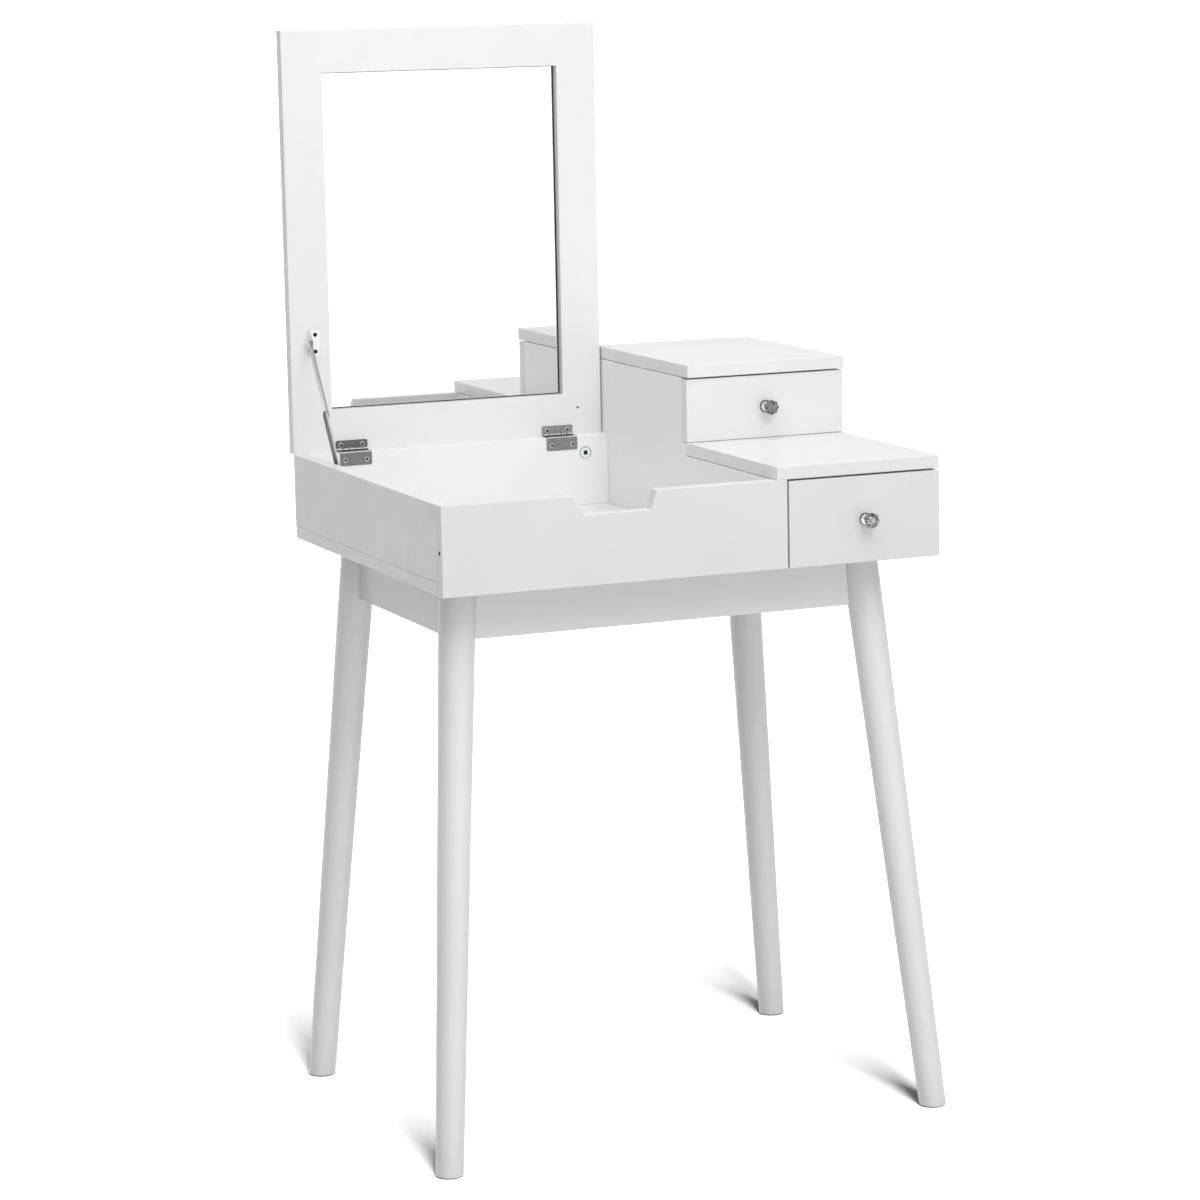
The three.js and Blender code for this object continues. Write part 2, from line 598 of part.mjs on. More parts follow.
// ---------------------------------------------------------------- folding stay
// X planes, from the side panel towards the middle of the table
const stayPlate0 = INNER_LEFT;
const stayPlate1 = stayPlate0 + STAY_PLATE;
const lowerLink0 = stayPlate1 + STAY_BOSS;
const lowerLink1 = lowerLink0 + STAY_LINK;
const upperLink0 = lowerLink1 + STAY_LINK_GAP;
const upperLink1 = upperLink0 + STAY_LINK;
const ear0 = upperLink1 + STAY_LINK_GAP;
const ear1 = ear0 + STAY_EAR;

const lidPivot = new THREE.Vector2(
  LID_FACE - STAY_LID_PIVOT_FROM_LID, BOX_HEIGHT + STAY_LID_PIVOT_HEIGHT);
const elbow = new THREE.Vector2(LID_FACE - STAY_ELBOW_FROM_LID, BOX_HEIGHT + STAY_ELBOW_HEIGHT);
const boxPivot = new THREE.Vector2(
  LID_FACE - STAY_BOX_PIVOT_FROM_LID, BOX_HEIGHT - STAY_BOX_PIVOT_DROP);

// a flat bar with round ends, lying along +Y from the origin, between two X planes
function linkGeometry(length, width, x0, x1, holes) {
  const radius = width / 2;
  const outline = new THREE.Shape();
  outline.absarc(0, 0, radius, Math.PI / 2, 1.5 * Math.PI, false);
  outline.absarc(length, 0, radius, -Math.PI / 2, Math.PI / 2, false);
  outline.holes = holes.map((at) => circlePath(at, 0, RIVET_RADIUS + RIVET_CLEARANCE));
  return extrudeAlongX(outline, x0, x1, 8);
}

// a rivet along +X from the origin: its shank, then a domed head
function rivetGeometry(shank) {
  return pointAlongX(turned([
    [0, 0], [RIVET_RADIUS, 0], [RIVET_RADIUS, shank], [RIVET_HEAD_RADIUS, shank],
    [RIVET_HEAD_RADIUS, shank + RIVET_HEAD / 2], [RIVET_HEAD_RADIUS * 0.7, shank + RIVET_HEAD],
    [0, shank + RIVET_HEAD],
  ], 16));
}

// the bracket's rivet carries the lower link on a raised boss
function addStayBoxBracket() {
  const half = STAY_PLATE_SIZE / 2;
  const { x: y, y: z } = boxPivot;
  const plate = extrudeAlongX(polygon([
    [y - half, z - half / 2], [y + half, z - half / 2], [y + half, z + half / 4],
    [y + half / 3, z + half / 2], [y - half / 3, z + half / 2], [y - half, z + half / 4],
  ]), stayPlate0, stayPlate1);
  const boss = pointAlongX(rod(RIVET_HEAD_RADIUS, stayPlate1 - STAY_PLATE / 2, lowerLink0 - FIT, 16))
    .translate(0, y, z);
  const rivetStart = stayPlate0 + STAY_PLATE / 2;
  const rivet = rivetGeometry(lowerLink1 + FIT - rivetStart).translate(rivetStart, y, z);
  piece(table, 'stay_box_bracket', join(plate, boss, rivet), nickelSteel);
}

function addStayLowerLink() {
  const span = new THREE.Vector2().subVectors(elbow, boxPivot);
  const link = piece(table, 'stay_lower_link', linkGeometry(
    span.length(), STAY_LOWER_LINK_WIDTH, lowerLink0, lowerLink1, [0]), nickelSteel);
  link.position.set(0, boxPivot.x, boxPivot.y);
  link.rotation.x = span.angle();
}

// the upper link carries the elbow's rivet, whose head stands on the link's inner side
function addStayUpperLink() {
  const span = new THREE.Vector2().subVectors(elbow, lidPivot);
  const bar = linkGeometry(span.length(), STAY_UPPER_LINK_WIDTH, upperLink0, upperLink1, [0]);
  const head = rivetGeometry(STAY_LINK / 2).translate(upperLink0 + STAY_LINK / 2, span.length(), 0);
  const link = piece(lid, 'stay_upper_link', join(bar, head), brightSteel);
  link.position.set(0, lidPivot.x, lidPivot.y);
  link.rotation.x = span.angle();
}

// an angle bracket on the lid: its ear's rivet carries the upper link
function addStayLidBracket() {
  const { x: y, y: z } = lidPivot;
  const heights = [z - STAY_FLANGE_HEIGHT / 2, z + STAY_FLANGE_HEIGHT / 2];
  const ear = new THREE.Shape();
  ear.moveTo(LID_FACE, heights[0]);
  ear.lineTo(LID_FACE, heights[1]);
  ear.lineTo(y, z + STAY_EAR_RADIUS);
  ear.absarc(y, z, STAY_EAR_RADIUS, Math.PI / 2, 1.5 * Math.PI, false);
  const flange = block([ear0, ear0 + STAY_FLANGE_WIDTH], [LID_FACE - STAY_EAR, LID_FACE], heights);
  const rivetStart = ear0 + STAY_EAR / 2;
  const rivet = rivetGeometry(rivetStart - upperLink0 + FIT).rotateZ(Math.PI)
    .translate(rivetStart, y, z);
  const screws = [-1, 1].map((side) => pointAlongFront(
    rod(SCREW_HOLE_RADIUS, -LID_FACE - 1, -LID_FACE + STAY_EAR + 1, 12))
    .translate(stayScrewX, 0, z + side * STAY_SCREW_SPACING / 2));
  const bracket = cut(join(extrudeAlongX(ear, ear0, ear1, 8), flange), ...screws);
  piece(lid, 'stay_lid_bracket', join(bracket, rivet), nickelSteel);
}

const stayScrewX = ear1 + (STAY_FLANGE_WIDTH - STAY_EAR) / 2;

// ---------------------------------------------------------------- drawers
const lowerDrawer = {
  name: 'lower_drawer',
  left: FRONT_PANEL_END + DRAWER_REVEAL,
  bottom: 0,
  top: BOX_HEIGHT - DRAWER_REVEAL,
  face: -DRAWER_STOP_GAP,
  floor: BOARD,
  back: BACK_PANEL_INNER - LOWER_DRAWER_BACK_GAP,
  sideHeight: LOWER_DRAWER_SIDE_HEIGHT,
};
const upperDrawer = {
  name: 'upper_drawer',
  left: DIVIDER,
  bottom: STEP_TOP + DRAWER_STEP_GAP,
  top: UPPER_BOARD_BOTTOM - DRAWER_REVEAL,
  face: UPPER_CARCASS_FRONT - BOARD - DRAWER_STOP_GAP,
  floor: STEP_TOP,
  back: TOWER_BACK - BOARD - UPPER_DRAWER_BACK_GAP,
  sideHeight: UPPER_DRAWER_SIDE_HEIGHT,
};

const drawerMiddle = (drawer) => (drawer.left + RIGHT) / 2;
const knobHeight = (drawer) => (drawer.bottom + drawer.top) / 2;
const drawerRunnerZ = (drawer) => drawer.floor + DRAWER_LIFT + drawer.sideHeight * 0.6;

// half of a drawer side's section in (X, Z), drawn for the left side and mirrored for the right
function drawerSideGeometry(drawer, side, y0, y1) {
  const outer = side < 0 ? CAVITY_LEFT + DRAWER_SIDE_GAP : CAVITY_RIGHT - DRAWER_SIDE_GAP;
  const inwards = -side;
  const z0 = drawer.floor + DRAWER_LIFT;
  const z1 = z0 + drawer.sideHeight;
  const runner = drawerRunnerZ(drawer);
  const grooveBottom = runner - RUNNER_BOTTOM_GAP;
  const grooveTop = runner + RUNNER_HEIGHT + RUNNER_TOP_GAP;
  const grooveDepth = RUNNER_WIDTH - DRAWER_SIDE_GAP + RUNNER_SIDE_GAP;
  const floor0 = z0 + DRAWER_BOTTOM_RAISE;
  const floor1 = floor0 + DRAWER_BOTTOM + FIT;
  const at = (depth, z) => [outer + inwards * depth, z];
  const section = polygon([
    at(0, z0), at(DRAWER_SIDE, z0),
    at(DRAWER_SIDE, floor0), at(DRAWER_SIDE - DRAWER_GROOVE, floor0),
    at(DRAWER_SIDE - DRAWER_GROOVE, floor1), at(DRAWER_SIDE, floor1),
    at(DRAWER_SIDE, z1), at(0, z1),
    at(0, grooveTop), at(grooveDepth, grooveTop), at(grooveDepth, grooveBottom), at(0, grooveBottom),
  ]);
  return extrudeAlongY(section, y0, y1);
}

function addDrawer(drawer) {
  const front0 = drawer.face;
  const front1 = front0 + BOARD;
  const { back } = drawer;
  const knobX = drawerMiddle(drawer);
  const knobZ = knobHeight(drawer);
  const boltHole = pointAlongFront(rod(KNOB_BOLT_RADIUS + FIT, -front1 - 1, -front0 + 1))
    .translate(knobX, 0, knobZ);
  const front = cut(
    block([drawer.left, RIGHT], [front0, front1], [drawer.bottom, drawer.top]), boltHole);
  const innerLeft = CAVITY_LEFT + DRAWER_SIDE_GAP + DRAWER_SIDE;
  const innerRight = CAVITY_RIGHT - DRAWER_SIDE_GAP - DRAWER_SIDE;
  const z0 = drawer.floor + DRAWER_LIFT;
  const floor0 = z0 + DRAWER_BOTTOM_RAISE;
  const tongue = DRAWER_GROOVE - FIT;
  const parts = {
    front,
    side_left: drawerSideGeometry(drawer, -1, front1, back),
    side_right: drawerSideGeometry(drawer, 1, front1, back),
    back: block([innerLeft, innerRight], [back - DRAWER_SIDE, back],
      [floor0 + DRAWER_BOTTOM, z0 + drawer.sideHeight]),
    bottom: block([innerLeft - tongue, innerRight + tongue], [front1, back],
      [floor0, floor0 + DRAWER_BOTTOM]),
  };
  for (const [name, geometry] of Object.entries(parts)) {
    const material = name === 'front' ? whiteLacquer : drawerWood;
    piece(table, `${drawer.name}_${name}`, geometry, material);
  }
  addKnob(drawer, knobX, front0, front1, knobZ);
}

function addKnob(drawer, x, front0, front1, z) {
  const inside = front0 - front1;
  const base = pointAlongFront(turned([
    [0, inside - KNOB_BOLT_HEAD], [KNOB_BOLT_HEAD_RADIUS, inside - KNOB_BOLT_HEAD],
    [KNOB_BOLT_HEAD_RADIUS, inside], [KNOB_BOLT_RADIUS, inside], [KNOB_BOLT_RADIUS, 0],
    [KNOB_BASE_RADIUS, 0], [KNOB_BASE_RADIUS, KNOB_BASE_LENGTH * 0.3],
    [KNOB_STEM_RADIUS, KNOB_BASE_LENGTH * 0.6], [KNOB_STEM_RADIUS, KNOB_BASE_LENGTH],
    [0, KNOB_BASE_LENGTH],
  ])).translate(x, front0, z);
  piece(table, `${drawer.name}_knob_base`, base, brightSteel);
  const knob = pointAlongFront(knobGeometry()).translate(x, front0 - KNOB_BASE_LENGTH, z);
  piece(table, `${drawer.name}_knob`, knob, crystal);
}

// a cut-crystal knob: turned rings of flat facets, scalloped into petals round the rim
function knobGeometry() {
  const rings = [
    [0, 0], [0.5, 0], [0.6, 0.12], [0.82, 0.4], [1, 0.6], [0.98, 0.7], [0.74, 0.88], [0.34, 1], [0, 1],
  ].map(([r, z]) => [r * KNOB_RADIUS, z * KNOB_LENGTH]);
  const knob = turned(rings, KNOB_PETALS * 2);
  const position = knob.attributes.position;
  const point = new THREE.Vector3();
  for (let i = 0; i < position.count; i += 1) {
    point.fromBufferAttribute(position, i);
    const radius = Math.hypot(point.x, point.y);
    if (radius > KNOB_RADIUS * 0.6) {
      const petal = Math.cos(KNOB_PETALS * Math.atan2(point.y, point.x));
      const scale = 1 - KNOB_PETAL_DEPTH * (1 - petal) / 2 / radius;
      position.setXY(i, point.x * scale, point.y * scale);
    }
  }
  return knob;
}

function addRunners(drawer) {
  const y = [drawer.face + BOARD + RUNNER_SETBACK, drawer.back];
  const z = [drawerRunnerZ(drawer), drawerRunnerZ(drawer) + RUNNER_HEIGHT];
  piece(table, `${drawer.name}_runner_left`,
    block([CAVITY_LEFT, CAVITY_LEFT + RUNNER_WIDTH], y, z), drawerWood);
  piece(table, `${drawer.name}_runner_right`,
    block([CAVITY_RIGHT - RUNNER_WIDTH, CAVITY_RIGHT], y, z), drawerWood);
}

// ---------------------------------------------------------------- assembly
addBottomBoard();
addSidePanels();
addBackPanels();
addFrontPanel();
addDivider();
addTopBoards();
addCamLock();
addLegs();
addAprons();
addCornerBlocks();
addFootGlides();
addLidBoards();
addHinges();
addStayBoxBracket();
addStayLowerLink();
addStayUpperLink();
addStayLidBracket();
for (const drawer of [lowerDrawer, upperDrawer]) {
  addDrawer(drawer);
  addRunners(drawer);
}

// the origin lies on the floor under the middle of the whole object's width and depth
const product = new THREE.Group();
table.position.set(0, -(LID_FACE + LID_THICKNESS - KNOB_TIP) / 2, BOX_UNDERSIDE);
product.add(table);

export default product;
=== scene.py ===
import json
import math

import bmesh
import bpy
from mathutils import Matrix, Vector

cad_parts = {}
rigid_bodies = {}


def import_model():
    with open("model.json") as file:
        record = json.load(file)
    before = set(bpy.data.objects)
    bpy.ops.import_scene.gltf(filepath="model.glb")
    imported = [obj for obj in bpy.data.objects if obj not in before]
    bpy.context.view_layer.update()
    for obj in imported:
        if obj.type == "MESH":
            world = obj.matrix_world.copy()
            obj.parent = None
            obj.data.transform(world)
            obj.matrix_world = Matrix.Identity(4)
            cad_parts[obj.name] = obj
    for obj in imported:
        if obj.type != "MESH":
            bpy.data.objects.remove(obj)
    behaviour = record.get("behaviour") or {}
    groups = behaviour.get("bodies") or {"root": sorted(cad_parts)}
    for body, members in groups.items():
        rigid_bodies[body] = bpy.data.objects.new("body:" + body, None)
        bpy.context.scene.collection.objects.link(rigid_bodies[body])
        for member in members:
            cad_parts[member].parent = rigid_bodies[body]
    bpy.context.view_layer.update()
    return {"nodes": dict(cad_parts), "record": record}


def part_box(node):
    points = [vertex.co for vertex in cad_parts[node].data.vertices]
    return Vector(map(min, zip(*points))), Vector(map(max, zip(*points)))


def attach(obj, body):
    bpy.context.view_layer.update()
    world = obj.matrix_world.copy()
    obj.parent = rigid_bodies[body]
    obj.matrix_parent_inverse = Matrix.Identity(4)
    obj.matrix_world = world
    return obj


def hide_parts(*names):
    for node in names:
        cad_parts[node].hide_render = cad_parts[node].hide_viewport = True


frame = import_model()

MM = 0.001
scene = bpy.context.scene
scene.view_settings.view_transform = "Standard"
scene.view_settings.look = "None"

# ---------------------------------------------------------------- camera
CAMERA_PLACE = Vector((-1.714007, -4.07889, 1.337107))
CAMERA_YAW = math.radians(22.6053)
CAMERA_PITCH = math.radians(9.5867)
CAMERA_ROLL = math.radians(-1.1172)
CAMERA_LENS = 115.683


def add_camera():
    """The photograph's viewpoint: yaw turns right from +Y, pitch looks down, roll tilts the frame."""
    forward = Vector((math.sin(CAMERA_YAW) * math.cos(CAMERA_PITCH),
                      math.cos(CAMERA_YAW) * math.cos(CAMERA_PITCH),
                      -math.sin(CAMERA_PITCH)))
    level = Vector((math.cos(CAMERA_YAW), -math.sin(CAMERA_YAW), 0))
    up = level.cross(forward)
    right = level * math.cos(CAMERA_ROLL) + up * math.sin(CAMERA_ROLL)
    above = up * math.cos(CAMERA_ROLL) - level * math.sin(CAMERA_ROLL)
    data = bpy.data.cameras.new("camera")
    data.lens = CAMERA_LENS
    data.sensor_width = 36
    data.clip_end = 1000
    camera = bpy.data.objects.new("camera", data)
    scene.collection.objects.link(camera)
    turn = Matrix((right, above, -forward)).transposed().to_4x4()
    camera.matrix_world = Matrix.Translation(CAMERA_PLACE) @ turn
    scene.camera = camera


# ---------------------------------------------------------------- materials
def shader(name, metallic=0.0, **sockets):
    material = bpy.data.materials.new(name)
    material.use_nodes = True
    tree = material.node_tree
    principled = tree.nodes["Principled BSDF"]
    principled.inputs["Metallic"].default_value = metallic
    for socket, value in sockets.items():
        principled.inputs[socket.replace("_", " ")].default_value = value
    return material, tree, principled


def object_coordinates(tree, stretch):
    place = tree.nodes.new("ShaderNodeTexCoord")
    mapping = tree.nodes.new("ShaderNodeMapping")
    mapping.inputs["Scale"].default_value = stretch
    tree.links.new(place.outputs["Object"], mapping.inputs["Vector"])
    return mapping.outputs["Vector"]


def noise(tree, vector, scale, detail=2.0, roughness=0.5):
    node = tree.nodes.new("ShaderNodeTexNoise")
    node.inputs["Scale"].default_value = scale
    node.inputs["Detail"].default_value = detail
    node.inputs["Roughness"].default_value = roughness
    tree.links.new(vector, node.inputs["Vector"])
    return node.outputs["Fac"]


def ramp(tree, factor, low, high, start=0.3, end=0.7):
    node = tree.nodes.new("ShaderNodeValToRGB")
    node.color_ramp.elements[0].position = start
    node.color_ramp.elements[0].color = (*low, 1)
    node.color_ramp.elements[1].position = end
    node.color_ramp.elements[1].color = (*high, 1)
    tree.links.new(factor, node.inputs["Fac"])
    return node.outputs["Color"]


def spread(tree, factor, low, high):
    node = tree.nodes.new("ShaderNodeMapRange")
    node.inputs["From Min"].default_value = 0.3
    node.inputs["From Max"].default_value = 0.7
    node.inputs["To Min"].default_value = low
    node.inputs["To Max"].default_value = high
    tree.links.new(factor, node.inputs["Value"])
    return node.outputs["Result"]


def bump(tree, height, strength, distance, normal=None):
    node = tree.nodes.new("ShaderNodeBump")
    node.inputs["Strength"].default_value = strength
    node.inputs["Distance"].default_value = distance
    tree.links.new(height, node.inputs["Height"])
    if normal is not None:
        tree.links.new(normal, node.inputs["Normal"])
    return node.outputs["Normal"]


def lacquer(name, low, high, grain_stretch=(1, 1, 1), grain=0.0):
    """Satin sprayed lacquer: faint orange peel, soft mottling and, on wood, a little raised grain."""
    material, tree, principled = shader(name, IOR=1.46, Coat_Weight=0.15, Coat_Roughness=0.18)
    plain = object_coordinates(tree, (1, 1, 1))
    cloud = noise(tree, plain, 9, 3)
    peel = noise(tree, plain, 620, 2)
    tree.links.new(ramp(tree, cloud, low, high), principled.inputs["Base Color"])
    tree.links.new(spread(tree, noise(tree, plain, 38, 4), 0.34, 0.46), principled.inputs["Roughness"])
    normal = bump(tree, peel, 0.12, 0.0003)
    if grain:
        along = object_coordinates(tree, grain_stretch)
        normal = bump(tree, noise(tree, along, 210, 5, 0.6), grain, 0.0004, normal)
    tree.links.new(normal, principled.inputs["Normal"])
    return material


def foiled_wood(name, low, high, stretch):
    """Pale foil-faced drawer board with a fine printed grain along the board."""
    material, tree, principled = shader(name, IOR=1.45)
    along = object_coordinates(tree, stretch)
    fibre = noise(tree, along, 160, 6, 0.62)
    tree.links.new(ramp(tree, fibre, low, high, 0.32, 0.68), principled.inputs["Base Color"])
    tree.links.new(spread(tree, fibre, 0.55, 0.7), principled.inputs["Roughness"])
    tree.links.new(bump(tree, fibre, 0.15, 0.0003), principled.inputs["Normal"])
    return material


def metal(name, tone, roughness, stretch, strength, tint=(1, 0.995, 0.98)):
    """Plated sheet or turned metal with fine directional brushing, its tone varying by a few per cent."""
    material, tree, principled = shader(name, metallic=1.0)
    low, high = ([tone * share * channel for channel in tint] for share in (0.93, 1.05))
    along = object_coordinates(tree, stretch)
    plain = object_coordinates(tree, (1, 1, 1))
    brushed = noise(tree, along, 1400, 4, 0.6)
    blotch = noise(tree, plain, 130, 4, 0.6)
    tree.links.new(ramp(tree, blotch, low, high), principled.inputs["Base Color"])
    tree.links.new(spread(tree, brushed, *roughness), principled.inputs["Roughness"])
    tree.links.new(bump(tree, brushed, strength, 0.0002), principled.inputs["Normal"])
    return material


def mirror(name):
    """Silvered float glass: almost sharp, with the faintest green cast and waviness."""
    material, tree, principled = shader(name, metallic=1.0)
    plain = object_coordinates(tree, (1, 1, 1))
    wave = noise(tree, plain, 5, 1)
    smear = noise(tree, plain, 30, 3)
    tree.links.new(ramp(tree, wave, (0.84, 0.855, 0.85), (0.86, 0.872, 0.867)),
                   principled.inputs["Base Color"])
    tree.links.new(spread(tree, smear, 0.006, 0.014), principled.inputs["Roughness"])
    tree.links.new(bump(tree, wave, 0.02, 0.0002), principled.inputs["Normal"])
    return material


def crystal(name):
    """Clear moulded acrylic, with painted shade: its colour darkens where a facet turns edge-on, and in
    small cells as a painted glint pattern.
    """
    material, tree, principled = shader(
        name, IOR=1.5, Transmission_Weight=1.0, Coat_Weight=0.4, Coat_Roughness=0.03)
    plain = object_coordinates(tree, (1, 1, 1))
    haze = noise(tree, plain, 260, 3)
    # painted shade: the colour turns near black as a facet turns edge-on to the view
    weight = tree.nodes.new("ShaderNodeLayerWeight")
    weight.inputs["Blend"].default_value = 0.4
    clear = ramp(tree, weight.outputs["Facing"], (0.97, 0.975, 0.98), (0.04, 0.04, 0.045), 0.2, 0.85)
    # painted glints: small cells, some darkened, for the contrast of the cuts
    painted_glint_cells = tree.nodes.new("ShaderNodeTexVoronoi")
    painted_glint_cells.inputs["Scale"].default_value = 520
    tree.links.new(plain, painted_glint_cells.inputs["Vector"])
    painted_cell_shade = ramp(tree, painted_glint_cells.outputs["Color"], (0.12, 0.12, 0.12), (1, 1, 1), 0.36, 0.56)
    blend = tree.nodes.new("ShaderNodeMixRGB")
    blend.blend_type = "MULTIPLY"
    blend.inputs["Fac"].default_value = 1
    tree.links.new(clear, blend.inputs["Color1"])
    tree.links.new(painted_cell_shade, blend.inputs["Color2"])
    tree.links.new(blend.outputs["Color"], principled.inputs["Base Color"])
    tree.links.new(spread(tree, haze, 0.01, 0.05), principled.inputs["Roughness"])
    tree.links.new(bump(tree, haze, 0.05, 0.0002), principled.inputs["Normal"])
    return material


def plastic(name, low, high, roughness=(0.45, 0.62), scale=700):
    """Moulded plastic, or a cast piece with a coat: fine pores and a slightly uneven gloss."""
    material, tree, principled = shader(name, IOR=1.47)
    plain = object_coordinates(tree, (1, 1, 1))
    pores = noise(tree, plain, scale, 4, 0.6)
    tree.links.new(ramp(tree, noise(tree, plain, 60, 3), low, high), principled.inputs["Base Color"])
    tree.links.new(spread(tree, pores, *roughness), principled.inputs["Roughness"])
    tree.links.new(bump(tree, pores, 0.25, 0.0003), principled.inputs["Normal"])
    return material


WHITE = lacquer("white_lacquer", (0.79, 0.79, 0.79), (0.82, 0.82, 0.82))
# the same white lacquer made darker or lighter per board: painted shade on the front panel and lower
# drawer front, painted light on the back panel, and painted light on the divider and front apron, which
# stand in shade
PAINTED_SHADE_WHITE = lacquer("white_lacquer_front", (0.75, 0.75, 0.75), (0.78, 0.78, 0.78))
PAINTED_LIGHT_WHITE = lacquer("white_lacquer_painted_light", (0.86, 0.86, 0.86), (0.88, 0.88, 0.88))
PAINTED_LIGHT_IN_SHADE_WHITE = lacquer("white_lacquer_painted_light_in_shade", (0.9, 0.9, 0.9), (0.92, 0.92, 0.92))
LEG = lacquer("leg_lacquer", (0.84, 0.84, 0.84), (0.87, 0.87, 0.87), (1, 1, 0.03), 0.12)
WOOD_Y = foiled_wood("drawer_wood", (0.70, 0.67, 0.61), (0.82, 0.80, 0.75), (1, 0.03, 1))
WOOD_X = foiled_wood("drawer_wood_cross", (0.70, 0.67, 0.61), (0.82, 0.80, 0.75), (0.03, 1, 1))
MIRROR = mirror("mirror_silver")
SHEET = ((0.24, 0.34), (0.08, 1, 1), 0.08)  # roughness, brushing direction and bump of sheet metal
NICKEL = metal("hinge_steel", 0.36, *SHEET)
BRIGHT = metal("bright_steel", 0.66, (0.12, 0.24), (1, 1, 0.1), 0.06)
LINK_STEEL = metal("stay_upper_steel", 0.58, (0.2, 0.3), (1, 1, 0.1), 0.06)
# the lower stay link, near-black steel as painted shade; the stay's screw heads use it too
DARK_LINK = metal("stay_link_steel", 0.02, (0.2, 0.3), (1, 1, 0.1), 0.08)
# the stay's lid bracket, steel made near white as a painted reflection
REFLECTION_PAINTED_STEEL = metal("stay_plate_steel", 0.84, (0.3, 0.4), (1, 1, 0.1), 0.06)
# near-white steel: the hinge screw heads, and a painted highlight on the hinge knuckles, the box leaf's
# bend, the knob cup's inner cone and the lower stay link's edges
POLISHED_AND_HIGHLIGHT_STEEL = metal("polished_steel_and_painted_highlight", 0.95, (0.14, 0.22), (0.1, 1, 1), 0.04)
# a dark copy of the chrome, painted shade on the knob cup's outer rim
SHADE_PAINTED_CHROME = metal("chrome_painted_shade", 0.2, (0.08, 0.16), (1, 1, 1), 0.04)
CRYSTAL = crystal("knob_crystal")
GLIDE = plastic("glide_plastic", (0.03, 0.03, 0.032), (0.05, 0.05, 0.052))
# near-black plastic used as painted shade: the sheet in the gap round the mirror glass, the hinge
# knuckles' undersides and ends, the screw and cam cross recesses and the dowel hole
PAINTED_SHADE_BLACK = plastic("painted_shade_black", (0.012, 0.012, 0.013), (0.02, 0.02, 0.021), (0.7, 0.8))
CAM = plastic("zinc_cam", (0.78, 0.83, 0.80), (0.82, 0.87, 0.84), (0.35, 0.45), 900)
# a dark copy of the cam's metal, painted shade round its rim
CAM_RIM_SHADE = metal("cam_rim_painted_shade", 0.07, (0.4, 0.5), (1, 1, 1), 0.1, (0.9, 1, 0.95))


# ---------------------------------------------------------------- mesh helpers
def finished_object(name, bm, material, sharp=35):
    mesh = bpy.data.meshes.new(name)
    bmesh.ops.recalc_face_normals(bm, faces=bm.faces)
    bm.to_mesh(mesh)
    bm.free()
    mesh.materials.append(material)
    for polygon in mesh.polygons:
        polygon.use_smooth = True
    mesh.set_sharp_from_angle(angle=math.radians(sharp))
    piece = bpy.data.objects.new(name, mesh)
    scene.collection.objects.link(piece)
    return piece


def add_weighted_normals(piece):
    modifier = piece.modifiers.new("weighted", "WEIGHTED_NORMAL")
    modifier.keep_sharp = True
    modifier.weight = 100


def node_bmesh(node):
    """The CAD node's solid with its flat faces whole again."""
    bm = bmesh.new()
    bm.from_mesh(frame["nodes"][node].data)
    bmesh.ops.remove_doubles(bm, verts=bm.verts, dist=1e-6)
    bmesh.ops.dissolve_limit(bm, angle_limit=math.radians(0.5), verts=bm.verts, edges=bm.edges)
    return bm


def body_of_node(node):
    for body, nodes in frame["record"]["behaviour"]["bodies"].items():
        if node in nodes:
            return body
    raise KeyError(node)


def stand_in(piece, node):
    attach(piece, body_of_node(node))
    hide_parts(node)
    return piece


def eased(node, material, slot, width=0.7, segments=3, shortest=6.0, settle=None, paint=()):
    """The node's solid with its long outer edges rounded over, width in mm.

    settle(bm) may move points first; paint is pairs of a material and a test of the faces that get it.
    """
    bm = node_bmesh(node)
    if settle:
        settle(bm)
    edges = [edge for edge in bm.edges
             if edge.is_manifold and edge.is_convex and edge.calc_length() > shortest * MM
             and edge.calc_face_angle(0) > math.radians(25)]
    bmesh.ops.bevel(bm, geom=edges, offset=width * MM, offset_type="OFFSET", segments=segments,
                    profile=0.5, affect="EDGES", clamp_overlap=True)
    bm.normal_update()
    for number, (_, wanted) in enumerate(paint, 1):
        for face in bm.faces:
            if wanted(face):
                face.material_index = number
    piece = finished_object(f"{node}_finish", bm, material)
    for second, _ in paint:
        piece.data.materials.append(second)
    add_weighted_normals(piece)
    return stand_in(piece, node)


def lathe(bm, profile, steps, scallop=None):
    """Rings of [radius, height] about Z; scallop(angle, radius, height) may change a radius. In mm."""
    rings = []
    for radius, height in profile:
        if radius < 1e-6:
            rings.append([bm.verts.new((0, 0, height * MM))])
            continue
        ring = []
        for i in range(steps):
            angle = 2 * math.pi * i / steps
            r = scallop(angle, radius, height) if scallop else radius
            ring.append(bm.verts.new((r * math.cos(angle) * MM, r * math.sin(angle) * MM, height * MM)))
        rings.append(ring)
    for low, high in zip(rings, rings[1:]):
        for i in range(steps):
            j = (i + 1) % steps
            if len(low) == 1 and len(high) == 1:
                continue
            if len(low) == 1:
                bm.faces.new((low[0], high[j], high[i]))
            elif len(high) == 1:
                bm.faces.new((low[i], low[j], high[0]))
            else:
                bm.faces.new((low[i], low[j], high[j], high[i]))
    return rings


